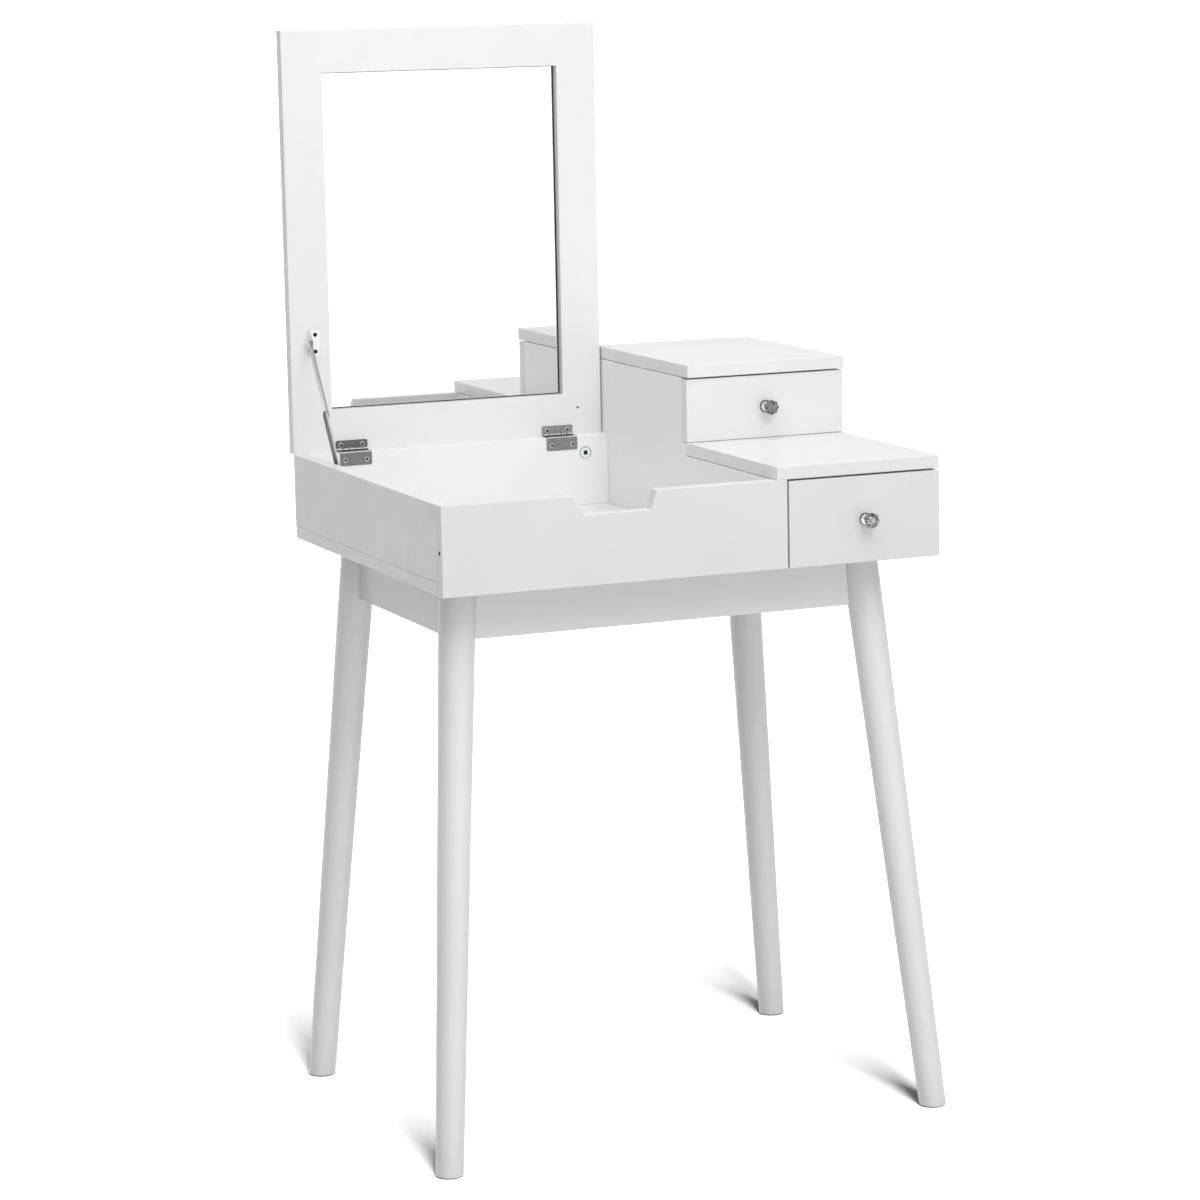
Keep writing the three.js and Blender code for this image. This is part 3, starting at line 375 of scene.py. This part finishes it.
# ---------------------------------------------------------------- boards, aprons, drawers
BOARDS = [
    "bottom_board", "left_side_panel", "right_side_lower", "right_side_upper", "back_panel",
    "lower_drawer_back_panel", "upper_drawer_back_panel", "front_panel", "divider_panel",
    "lower_top_board", "upper_top_board", "front_apron", "back_apron", "left_apron", "right_apron",
    "lid_frame", "lid_outer_panel", "lower_drawer_front", "upper_drawer_front",
]
WOOD_PIECES = {
    "side_left": WOOD_Y, "side_right": WOOD_Y, "back": WOOD_X, "bottom": WOOD_X,
    "runner_left": WOOD_Y, "runner_right": WOOD_Y,
}
# boards that take a darker or lighter copy of the white lacquer, as painted light and shade
BOARD_PAINTED_LIGHT_AND_SHADE = {
    "front_panel": PAINTED_SHADE_WHITE, "lower_drawer_front": PAINTED_SHADE_WHITE, "back_panel": PAINTED_LIGHT_WHITE,
    "divider_panel": PAINTED_LIGHT_IN_SHADE_WHITE, "front_apron": PAINTED_LIGHT_IN_SHADE_WHITE,
}
# how wide the boards' edges are rounded, in mm
BOARD_EDGE = 0.6
BOARD_EDGES = {
    "left_side_panel": 0.15, "upper_drawer_front": 0.3, "upper_top_board": 1.0, "lower_top_board": 1.0,
    "bottom_board": 1.2,
}
JOINT_LINE = 0.5  # height in mm of the dark line under the boards' left ends, on the divider
DOWEL_HOLE = (2.5, 48, 10)  # radius, height over the panel's lower edge and depth, in mm


def open_joint_lines(bm):
    """Lowers the divider's two seats, so that a dark line shows under the boards on it."""
    seats = [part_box(board)[0].z for board in ("lower_top_board", "upper_top_board")]
    for vert in bm.verts:
        if any(abs(vert.co.z - seat) < 0.01 * MM for seat in seats):
            vert.co.z -= JOINT_LINE * MM


def in_dowel_hole(face):
    """The walls and the bottom of the blind hole in the front panel's left end, painted black as shade."""
    low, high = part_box("front_panel")
    radius, height, depth = (length * MM for length in DOWEL_HOLE)
    place = face.calc_center_median()
    away = math.hypot(place.y - (low.y + high.y) / 2, place.z - low.z - height)
    return away < radius * 1.05 and 0.05 * MM < place.x - low.x < depth * 1.1


def add_boards():
    """The lacquered boards and aprons, the drawer boxes and the corner blocks."""
    for node in BOARDS:
        settle = open_joint_lines if node == "divider_panel" else None
        # the front panel's dowel hole is painted near-black as shade
        paint = [(PAINTED_SHADE_BLACK, in_dowel_hole)] if node == "front_panel" else ()
        eased(node, BOARD_PAINTED_LIGHT_AND_SHADE.get(node, WHITE), "white_lacquer", BOARD_EDGES.get(node, BOARD_EDGE),
              settle=settle, paint=paint)
    for drawer in ("lower_drawer", "upper_drawer"):
        for part, material in WOOD_PIECES.items():
            eased(f"{drawer}_{part}", material, "drawer_wood", 0.4, 2)
    for node in frame["nodes"]:
        if node.startswith("corner_block"):
            eased(node, WOOD_X, "drawer_wood", 0.8, 2)


# ---------------------------------------------------------------- legs
LEG_STEPS = 96
LEG_RINGS = 12
LEG_TOP = 21.0  # radii in mm
LEG_FOOT = 15.75


def add_legs():
    """Each leg is a taper sheared from its top centre to its foot, both ends level."""
    for node in [n for n in frame["nodes"] if n.startswith("leg_")]:
        low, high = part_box(node)
        left = node.endswith("left")
        front = "front" in node
        top = Vector(((high.x if left else low.x) + (-LEG_TOP if left else LEG_TOP) * MM,
                      (high.y if front else low.y) + (-LEG_TOP if front else LEG_TOP) * MM, high.z))
        foot = Vector(((low.x if left else high.x) + (LEG_FOOT if left else -LEG_FOOT) * MM,
                       (low.y if front else high.y) + (LEG_FOOT if front else -LEG_FOOT) * MM, low.z))
        length = (top.z - foot.z) / MM
        taper = (LEG_TOP - LEG_FOOT) / length
        profile = [(0, 0), (LEG_FOOT - 0.9, 0), (LEG_FOOT - 0.3, 0.2), (LEG_FOOT, 0.8)]
        profile += [(LEG_FOOT + taper * length * i / LEG_RINGS, length * i / LEG_RINGS)
                    for i in range(1, LEG_RINGS)]
        profile += [(LEG_TOP - 0.4, length - 0.1), (LEG_TOP - 0.8, length), (0, length)]
        bm = bmesh.new()
        lathe(bm, profile, LEG_STEPS)
        slope = (top - foot) / (top.z - foot.z)
        for vert in bm.verts:
            z = vert.co.z
            vert.co = Vector((vert.co.x + foot.x + slope.x * z, vert.co.y + foot.y + slope.y * z,
                              foot.z + z))
        stand_in(finished_object(f"{node}_finish", bm, LEG), node)


# ---------------------------------------------------------------- mirror
SHADE_SHEET_REACH = 3.2  # how far the black sheet of painted shade goes past the glass, and its thickness, in mm
SHADE_SHEET_THICKNESS = 0.3


def add_mirror():
    """Glass with ground edges, and a black sheet behind it that puts painted shade in the gap round it."""
    eased("mirror_glass", MIRROR, "mirror_silver", 0.5, 2)
    low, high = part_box("mirror_glass")
    middle = (low + high) / 2
    reach = SHADE_SHEET_REACH * MM
    thickness = SHADE_SHEET_THICKNESS * MM
    size = Vector((high.x - low.x + 2 * reach, thickness, high.z - low.z + 2 * reach))
    bm = bmesh.new()
    bmesh.ops.create_cube(bm, size=1)
    bmesh.ops.scale(bm, vec=size, verts=bm.verts)
    bmesh.ops.translate(bm, vec=(middle.x, high.y - thickness / 2, middle.z), verts=bm.verts)
    # a black sheet behind the glass, painted shade for the gap round it
    shade_sheet = finished_object("painted_shade_black", bm, PAINTED_SHADE_BLACK)
    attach(shade_sheet, "mirror_lid")


# ---------------------------------------------------------------- small hardware
# lengths in mm
KNUCKLE_RADIUS = 1.75
KNUCKLE_PITCH = 8.0
KNUCKLE_KEEP = 0.88  # share of a knuckle's length that is left between the open gaps
# each hinge leaf gets its own tone of the same steel, as painted light and shade
HINGE_LEAF_PAINTED_LIGHT = {
    "hinge_lid_leaf_left": 0.2, "hinge_box_leaf_left": 0.3, "hinge_lid_leaf_right": 0.4,
    "hinge_box_leaf_right": 0.36,
}
CAM_CROSS_REACH = 4
CAM_CROSS_HALF_WIDTH = 1.2
CAM_CROSS_HALF_LENGTH = 2.95
CAM_FACE_RADIUS = 5.4  # the pale face inside the rim of painted shade
KNOB_CONE_CUT = 3.15  # where the cup's cone changes from painted shade to painted highlight, from the front end of the stem
KNOB_RIM_SHARE = 0.84  # the rim of painted shade begins at this share of the cup's radius


def hinge_look(side):
    """What sets a hinge's rolled knuckles off from its leaves: open gaps, a painted highlight on the
    knuckles and the box leaf's bend, and painted shade under the knuckles and on their ends.
    """
    low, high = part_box(f"hinge_pin_{side}")
    middle = (low + high) / 2

    def on_knuckle(place):
        return math.hypot(place.y - middle.y, place.z - middle.z) < (KNUCKLE_RADIUS + 0.1) * MM

    def open_gaps(bm):
        pitch = KNUCKLE_PITCH * MM
        for vert in bm.verts:
            if on_knuckle(vert.co):
                centre = low.x + (math.floor((vert.co.x - low.x) / pitch) + 0.5) * pitch
                vert.co.x = centre + (vert.co.x - centre) * KNUCKLE_KEEP

    # painted highlight: the knuckles and the box leaf's bend get near-white steel
    def bright(face):
        place = face.calc_center_median()
        bend = face.normal.y < -0.15 and face.normal.z > 0.15 and place.z < low.z
        return on_knuckle(place) or bend

    # painted shade: the knuckles' undersides and their ends at the gaps get near-black
    def shaded(face):
        return on_knuckle(face.calc_center_median()) and (face.normal.z < -0.1 or abs(face.normal.x) > 0.9)

    return {"settle": open_gaps, "paint": [(POLISHED_AND_HIGHLIGHT_STEEL, bright), (PAINTED_SHADE_BLACK, shaded)]}


def bold_cross(bm):
    """Makes the cam's diagonal cross shorter and wider, as it shows in the photo."""
    low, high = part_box("cam_lock")
    middle = (low + high) / 2
    diagonal = Matrix.Rotation(math.pi / 4, 2)
    for vert in bm.verts:
        place = diagonal @ Vector((vert.co.x - middle.x, vert.co.z - middle.z))
        if not MM < place.length < CAM_CROSS_REACH * MM:
            continue
        for axis in (0, 1):
            across = abs(place[axis]) < 2 * MM
            size = CAM_CROSS_HALF_WIDTH if across else CAM_CROSS_HALF_LENGTH
            place[axis] = math.copysign(size * MM, place[axis])
        place = diagonal.transposed() @ place
        vert.co.x, vert.co.z = middle.x + place.x, middle.z + place.y


def cam_paint():
    """Painted shade on the cam: a black cross in its recess and a dark rim round its pale face."""
    low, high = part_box("cam_lock")
    middle = (low + high) / 2

    def away(face):
        place = face.calc_center_median()
        return math.hypot(place.x - middle.x, place.z - middle.z)

    def in_cross(face):
        return away(face) < CAM_CROSS_REACH * MM and face.calc_center_median().y > low.y + 0.1 * MM

    def on_rim(face):
        return away(face) > CAM_FACE_RADIUS * MM

    return [(PAINTED_SHADE_BLACK, in_cross), (CAM_RIM_SHADE, on_rim)]


def on_knob_rim(node):
    """The outer half of the knob's cup, by distance from its axis, which takes painted shade."""
    low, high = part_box(node)
    middle = (low + high) / 2
    reach = (high.z - low.z) / 2

    def wanted(face):
        place = face.calc_center_median()
        return math.hypot(place.x - middle.x, place.z - middle.z) > KNOB_RIM_SHARE * reach

    return wanted


def split_knob_cone(node):
    """Cuts the cup's cone in two, so that its outer half can carry painted shade and its inner half a
    painted highlight.
    """
    def settle(bm):
        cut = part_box(node)[0].y + KNOB_CONE_CUT * MM
        bmesh.ops.bisect_plane(bm, geom=bm.verts[:] + bm.edges[:] + bm.faces[:],
                               plane_co=(0, cut, 0), plane_no=(0, 1, 0))

    return settle


def off_sides(face):
    """The narrow edges of a flat link that stands across X, which take a painted highlight."""
    return abs(face.normal.x) < 0.5


def add_hinges():
    for node in frame["nodes"]:
        if node in HINGE_LEAF_PAINTED_LIGHT:
            # the leaf's own copy of the steel, toned as painted light and shade
            steel = metal(f"{node}_steel", HINGE_LEAF_PAINTED_LIGHT[node], *SHEET)
            eased(node, steel, "hinge_steel", 0.12, 2, 2.0, **hinge_look(node.rsplit("_", 1)[1]))
        elif node.startswith("hinge_pin"):
            eased(node, BRIGHT, "bright_steel", 0.2, 2, 0.2)


def add_stay_and_cam():
    eased("stay_box_bracket", NICKEL, "hinge_steel", 0.3, 2, 1.4)
    # the lower link: painted shade in its near-black steel, and a painted highlight on its narrow edges
    eased("stay_lower_link", DARK_LINK, "hinge_steel", 0.3, 2, 1.4, paint=[(POLISHED_AND_HIGHLIGHT_STEEL, off_sides)])
    # the lid bracket's near-white steel is a painted reflection
    eased("stay_lid_bracket", REFLECTION_PAINTED_STEEL, "hinge_steel", 0.25, 2, 1.4)
    eased("stay_upper_link", LINK_STEEL, "bright_steel", 0.3, 2, 1.4)
    # the cam gets painted shade in its cross recess and round its rim
    eased("cam_lock", CAM, "zinc_cam", 0.25, 2, 0.5, bold_cross, cam_paint())


def add_glides_and_cups():
    for node in frame["nodes"]:
        if node.startswith("foot_glide"):
            eased(node, GLIDE, "glide_plastic", 0.3, 2, 0.5)
        elif node.endswith("_knob_base"):
            # the knob cup: near-white steel as a painted highlight, with painted shade on its outer rim
            eased(node, POLISHED_AND_HIGHLIGHT_STEEL, "bright_steel", 0.2, 2, 0.5, split_knob_cone(node),
                  [(SHADE_PAINTED_CHROME, on_knob_rim(node))])


# ---------------------------------------------------------------- screw heads
# lengths in mm; a turn is a head's own angle in degrees
HINGE_SCREW = (2.7, 1.0, 1.85)  # radius, height and half the cross
STAY_SCREW = (2.5, 0.6, 1.4)
HINGE_SCREW_TURNS = {"left": (38, 12, 64, 25), "right": (50, 8, 31, 77)}
HINGE_SCREW_OUT = 13.5  # either way from the leaf's middle
BOX_SCREW_DROP = 9.25  # below the knuckles
LID_SCREW_RISE = 5.75  # above the knuckles' axis
LID_LEAF_SHEET = 0.75
BRACKET_SHEET = 1.5
LID_BRACKET_SCREWS = (6.5, 10)  # from the bracket's right edge, and either way from its middle
BOX_BRACKET_SCREWS = 5.5  # from the bracket's lower edge and from its ends


def screw_mesh(radius, dome, recess, material):
    """A domed screw head on Z with its cross recess painted black as shade, in mm; its underside is at
    height 0.
    """
    head = bmesh.new()
    lathe(head, [(0, 0), (radius, 0), (radius * 0.98, dome * 0.35), (radius * 0.8, dome * 0.72),
                 (radius * 0.5, dome * 0.93), (0, dome)], 32)
    solid = finished_object("screw_head_blank", head, material)
    solid.data.materials.append(PAINTED_SHADE_BLACK)
    cross = bmesh.new()
    for turn in (0, 1):
        made = bmesh.ops.create_cube(cross, size=1)["verts"]
        size = (recess * 2 * MM, recess * 0.95 * MM, dome * 1.2 * MM)
        bmesh.ops.scale(cross, vec=size, verts=made)
        bmesh.ops.rotate(cross, cent=(0, 0, 0), matrix=Matrix.Rotation(turn * math.pi / 2, 3, "Z"),
                         verts=made)
        bmesh.ops.translate(cross, vec=(0, 0, dome * 0.95 * MM), verts=made)
    tool = finished_object("screw_cross_blank", cross, PAINTED_SHADE_BLACK)
    modifier = solid.modifiers.new("recess", "BOOLEAN")
    modifier.operation = "DIFFERENCE"
    modifier.solver = "EXACT"
    modifier.use_self = True
    modifier.object = tool
    bpy.context.view_layer.update()
    evaluated = solid.evaluated_get(bpy.context.evaluated_depsgraph_get())
    mesh = bpy.data.meshes.new_from_object(evaluated)
    bpy.data.objects.remove(solid)
    bpy.data.objects.remove(tool)
    mesh.set_sharp_from_angle(angle=math.radians(30))
    # the recess's walls and floor take near-black as painted shade
    for polygon in mesh.polygons:
        place = polygon.center
        in_cross = place.z > 0.05 * MM and math.hypot(place.x, place.y) < recess * 1.1 * MM
        cut = place.z < dome * 0.6 * MM or abs(polygon.normal.z) < 0.3
        polygon.material_index = int(in_cross and cut)
    return mesh


def add_screw(name, mesh, place, direction, turn, body):
    piece = bpy.data.objects.new(name, mesh.copy())
    scene.collection.objects.link(piece)
    aim = Vector(direction).to_track_quat("Z", "Y").to_matrix().to_4x4()
    matrix = Matrix.Translation(place) @ aim @ Matrix.Rotation(math.radians(turn), 4, "Z")
    piece.data.transform(matrix)
    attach(piece, body)


def add_screws():
    """Two heads on each hinge leaf and on each of the stay's brackets."""
    hinge_screw = screw_mesh(*HINGE_SCREW, POLISHED_AND_HIGHLIGHT_STEEL)
    stay_screw = screw_mesh(*STAY_SCREW, DARK_LINK)
    front = (0, -1, 0)
    for side, turns in HINGE_SCREW_TURNS.items():
        low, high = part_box(f"hinge_box_leaf_{side}")
        middle = (low.x + high.x) / 2
        box_height = high.z - (2 * KNUCKLE_RADIUS + BOX_SCREW_DROP) * MM
        lid_low, lid_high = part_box(f"hinge_lid_leaf_{side}")
        lid_height = lid_low.z + (KNUCKLE_RADIUS + LID_SCREW_RISE) * MM
        for i, x in enumerate((middle - HINGE_SCREW_OUT * MM, middle + HINGE_SCREW_OUT * MM)):
            add_screw(f"hinge_box_screw_{side}_{i}", hinge_screw, (x, low.y, box_height), front,
                      turns[i], "table")
            add_screw(f"hinge_lid_screw_{side}_{i}", hinge_screw,
                      (x, lid_high.y - LID_LEAF_SHEET * MM, lid_height), front, turns[2 + i],
                      "mirror_lid")
    low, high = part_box("stay_lid_bracket")
    inset, out = LID_BRACKET_SCREWS
    for i, z in enumerate((-out, out)):
        place = (high.x - inset * MM, high.y - BRACKET_SHEET * MM, (low.z + high.z) / 2 + z * MM)
        add_screw(f"stay_lid_screw_{i}", stay_screw, place, front, 20 + 47 * i, "mirror_lid")
    low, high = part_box("stay_box_bracket")
    inset = BOX_BRACKET_SCREWS * MM
    for i, y in enumerate((inset, high.y - low.y - inset)):
        place = (low.x + BRACKET_SHEET * MM, low.y + y, low.z + inset)
        add_screw(f"stay_box_screw_{i}", stay_screw, place, (1, 0, 0), 15 + 30 * i, "table")


# ---------------------------------------------------------------- crystal knobs
KNOB_PETALS = 8
PETAL_DEPTH = 1.15  # in mm, as are the radii where the petals begin and where they are full
PETAL_RADII = (3, 8)
# rings of [share of the radius, share of the length from the base]
KNOB_PROFILE = [(0, 0), (0.5, 0), (0.57, 0.08), (0.64, 0.2), (0.8, 0.4), (0.94, 0.52), (1, 0.62),
                (0.99, 0.7), (0.88, 0.79), (0.72, 0.86), (0.56, 0.885), (0.46, 0.95), (0.3, 1), (0, 1)]
KNOB_CORE = [(0, 0.01), (0.3, 0.01), (0.3, 0.42), (0.42, 0.5), (0.34, 0.58), (0, 0.6)]


def add_knobs():
    """A clear flower-cut knob: rounded petals round a cut centre, with the bolt's end inside."""
    first, full = PETAL_RADII

    def scallop(angle, radius, height):
        share = min(1.0, max(0.0, (radius - first) / (full - first)))
        return radius - PETAL_DEPTH * share * (1 - math.cos(KNOB_PETALS * angle)) / 2

    for drawer in ("lower_drawer", "upper_drawer"):
        node = f"{drawer}_knob"
        low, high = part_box(node)
        centre = (low + high) / 2
        reach = (high.z - low.z) / 2 / MM
        length = (high.y - low.y) / MM
        place = Matrix.Translation((centre.x, high.y, centre.z)) @ Matrix.Rotation(math.pi / 2, 4, "X")
        bm = bmesh.new()
        lathe(bm, [(across * reach, along * length) for across, along in KNOB_PROFILE],
              KNOB_PETALS * 6, scallop)
        bmesh.ops.transform(bm, matrix=place, verts=bm.verts)
        stand_in(finished_object(f"{node}_finish", bm, CRYSTAL, 10), node)
        core = bmesh.new()
        lathe(core, [(across * reach, along * length) for across, along in KNOB_CORE], 24)
        bmesh.ops.transform(core, matrix=place, verts=core.verts)
        bolt = finished_object(f"{node}_core", core, LINK_STEEL)
        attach(bolt, drawer)


# ---------------------------------------------------------------- stage and light
FLOOR_REACH = 400
FLOOR_WHITE = 0.2
FLOOR_SUN = 31.0
FLOOR_SUN_ANGLE = math.radians(22)
FLOOR_SUN_TRAVEL = (0.135, 1.08, -1.0)


def add_floor():
    """A pale sweep out to the horizon, so that the mirror shows it too."""
    bm = bmesh.new()
    bmesh.ops.create_grid(bm, x_segments=1, y_segments=1, size=FLOOR_REACH)
    material, tree, principled = shader("floor_white", IOR=1.4, Roughness=0.9)
    principled.inputs["Specular IOR Level"].default_value = 0.0
    plain = object_coordinates(tree, (1, 1, 1))
    low, high = (FLOOR_WHITE,) * 3, (FLOOR_WHITE * 1.02,) * 3
    tree.links.new(ramp(tree, noise(tree, plain, 2, 2), low, high), principled.inputs["Base Color"])
    floor = finished_object("floor", bm, material)
    floor.visible_diffuse = False
    floor.visible_shadow = False
    add_floor_light(floor)


def add_floor_light(floor):
    """A soft sun for the floor alone, which only the legs and glides shade."""
    data = bpy.data.lights.new("floor_sun", "SUN")
    data.energy = FLOOR_SUN
    data.angle = FLOOR_SUN_ANGLE
    light = bpy.data.objects.new("floor_sun", data)
    scene.collection.objects.link(light)
    light.rotation_euler = Vector(FLOOR_SUN_TRAVEL).to_track_quat("-Z", "Y").to_euler()
    light.visible_glossy = False
    lit = bpy.data.collections.new("lit_by_floor_sun")
    lit.objects.link(floor)
    light.light_linking.receiver_collection = lit
    shading = bpy.data.collections.new("shading_the_floor")
    for piece in scene.objects:
        if piece.name.startswith(("leg_", "foot_glide_")):
            shading.objects.link(piece)
    light.light_linking.blocker_collection = shading


# radiance of the studio dome along each direction
DOME = {"base": 0.029, "+X": 0.0, "-X": 0.0, "+Y": 0.78, "-Y": 0.812, "+Z": 0.307, "-Z": 0.0}
AXES = {"+X": (1, 0, 0), "-X": (-1, 0, 0), "+Y": (0, 1, 0), "-Y": (0, -1, 0), "+Z": (0, 0, 1),
        "-Z": (0, 0, -1)}
# soft panels: place, width and power
PANELS = {
    "overhead": ((0.0, 0.2, 2.4), 1.0, 9.38),
    "front_high": ((0.0, -1.0, 2.2), 1.0, 4.73),
    "front_far": ((0.0, -2.2, 2.2), 1.0, 14.58),
    "front_left": ((-1.0, -1.2, 2.2), 1.0, 3.6),
    "front_low": ((0.3, -3.0, 0.6), 1.2, 2.47),
}
LIGHT_TARGET = (0, 0, 0.75)


def add_dome():
    """The studio around: a soft dome whose strength changes with direction."""
    world = bpy.data.worlds.new("studio")
    scene.world = world
    world.use_nodes = True
    tree = world.node_tree
    background = tree.nodes["Background"]
    place = tree.nodes.new("ShaderNodeTexCoord")
    total = None
    for name, axis in AXES.items():
        dot = tree.nodes.new("ShaderNodeVectorMath")
        dot.operation = "DOT_PRODUCT"
        dot.inputs[1].default_value = axis
        tree.links.new(place.outputs["Generated"], dot.inputs[0])
        clamp = tree.nodes.new("ShaderNodeMath")
        clamp.operation = "MAXIMUM"
        clamp.inputs[1].default_value = 0
        tree.links.new(dot.outputs["Value"], clamp.inputs[0])
        add = tree.nodes.new("ShaderNodeMath")
        add.operation = "MULTIPLY_ADD"
        add.inputs[1].default_value = DOME[name]
        tree.links.new(clamp.outputs[0], add.inputs[0])
        if total is None:
            add.inputs[2].default_value = DOME["base"]
        else:
            tree.links.new(total, add.inputs[2])
        total = add.outputs[0]
    tree.links.new(total, background.inputs["Strength"])
    background.inputs["Color"].default_value = (1, 1, 1, 1)


def add_panels():
    """Soft square panels, unseen by the camera and by gloss."""
    for name, (place, size, power) in PANELS.items():
        data = bpy.data.lights.new(name, "AREA")
        data.shape = "SQUARE"
        data.size = size
        data.energy = power
        light = bpy.data.objects.new(name, data)
        scene.collection.objects.link(light)
        light.location = place
        aim = Vector(LIGHT_TARGET) - Vector(place)
        light.rotation_euler = aim.to_track_quat("-Z", "Y").to_euler()
        light.visible_camera = False
        light.visible_glossy = False


add_camera()
add_boards()
add_legs()
add_mirror()
add_hinges()
add_stay_and_cam()
add_glides_and_cups()
add_screws()
add_knobs()
add_floor()
add_dome()
add_panels()
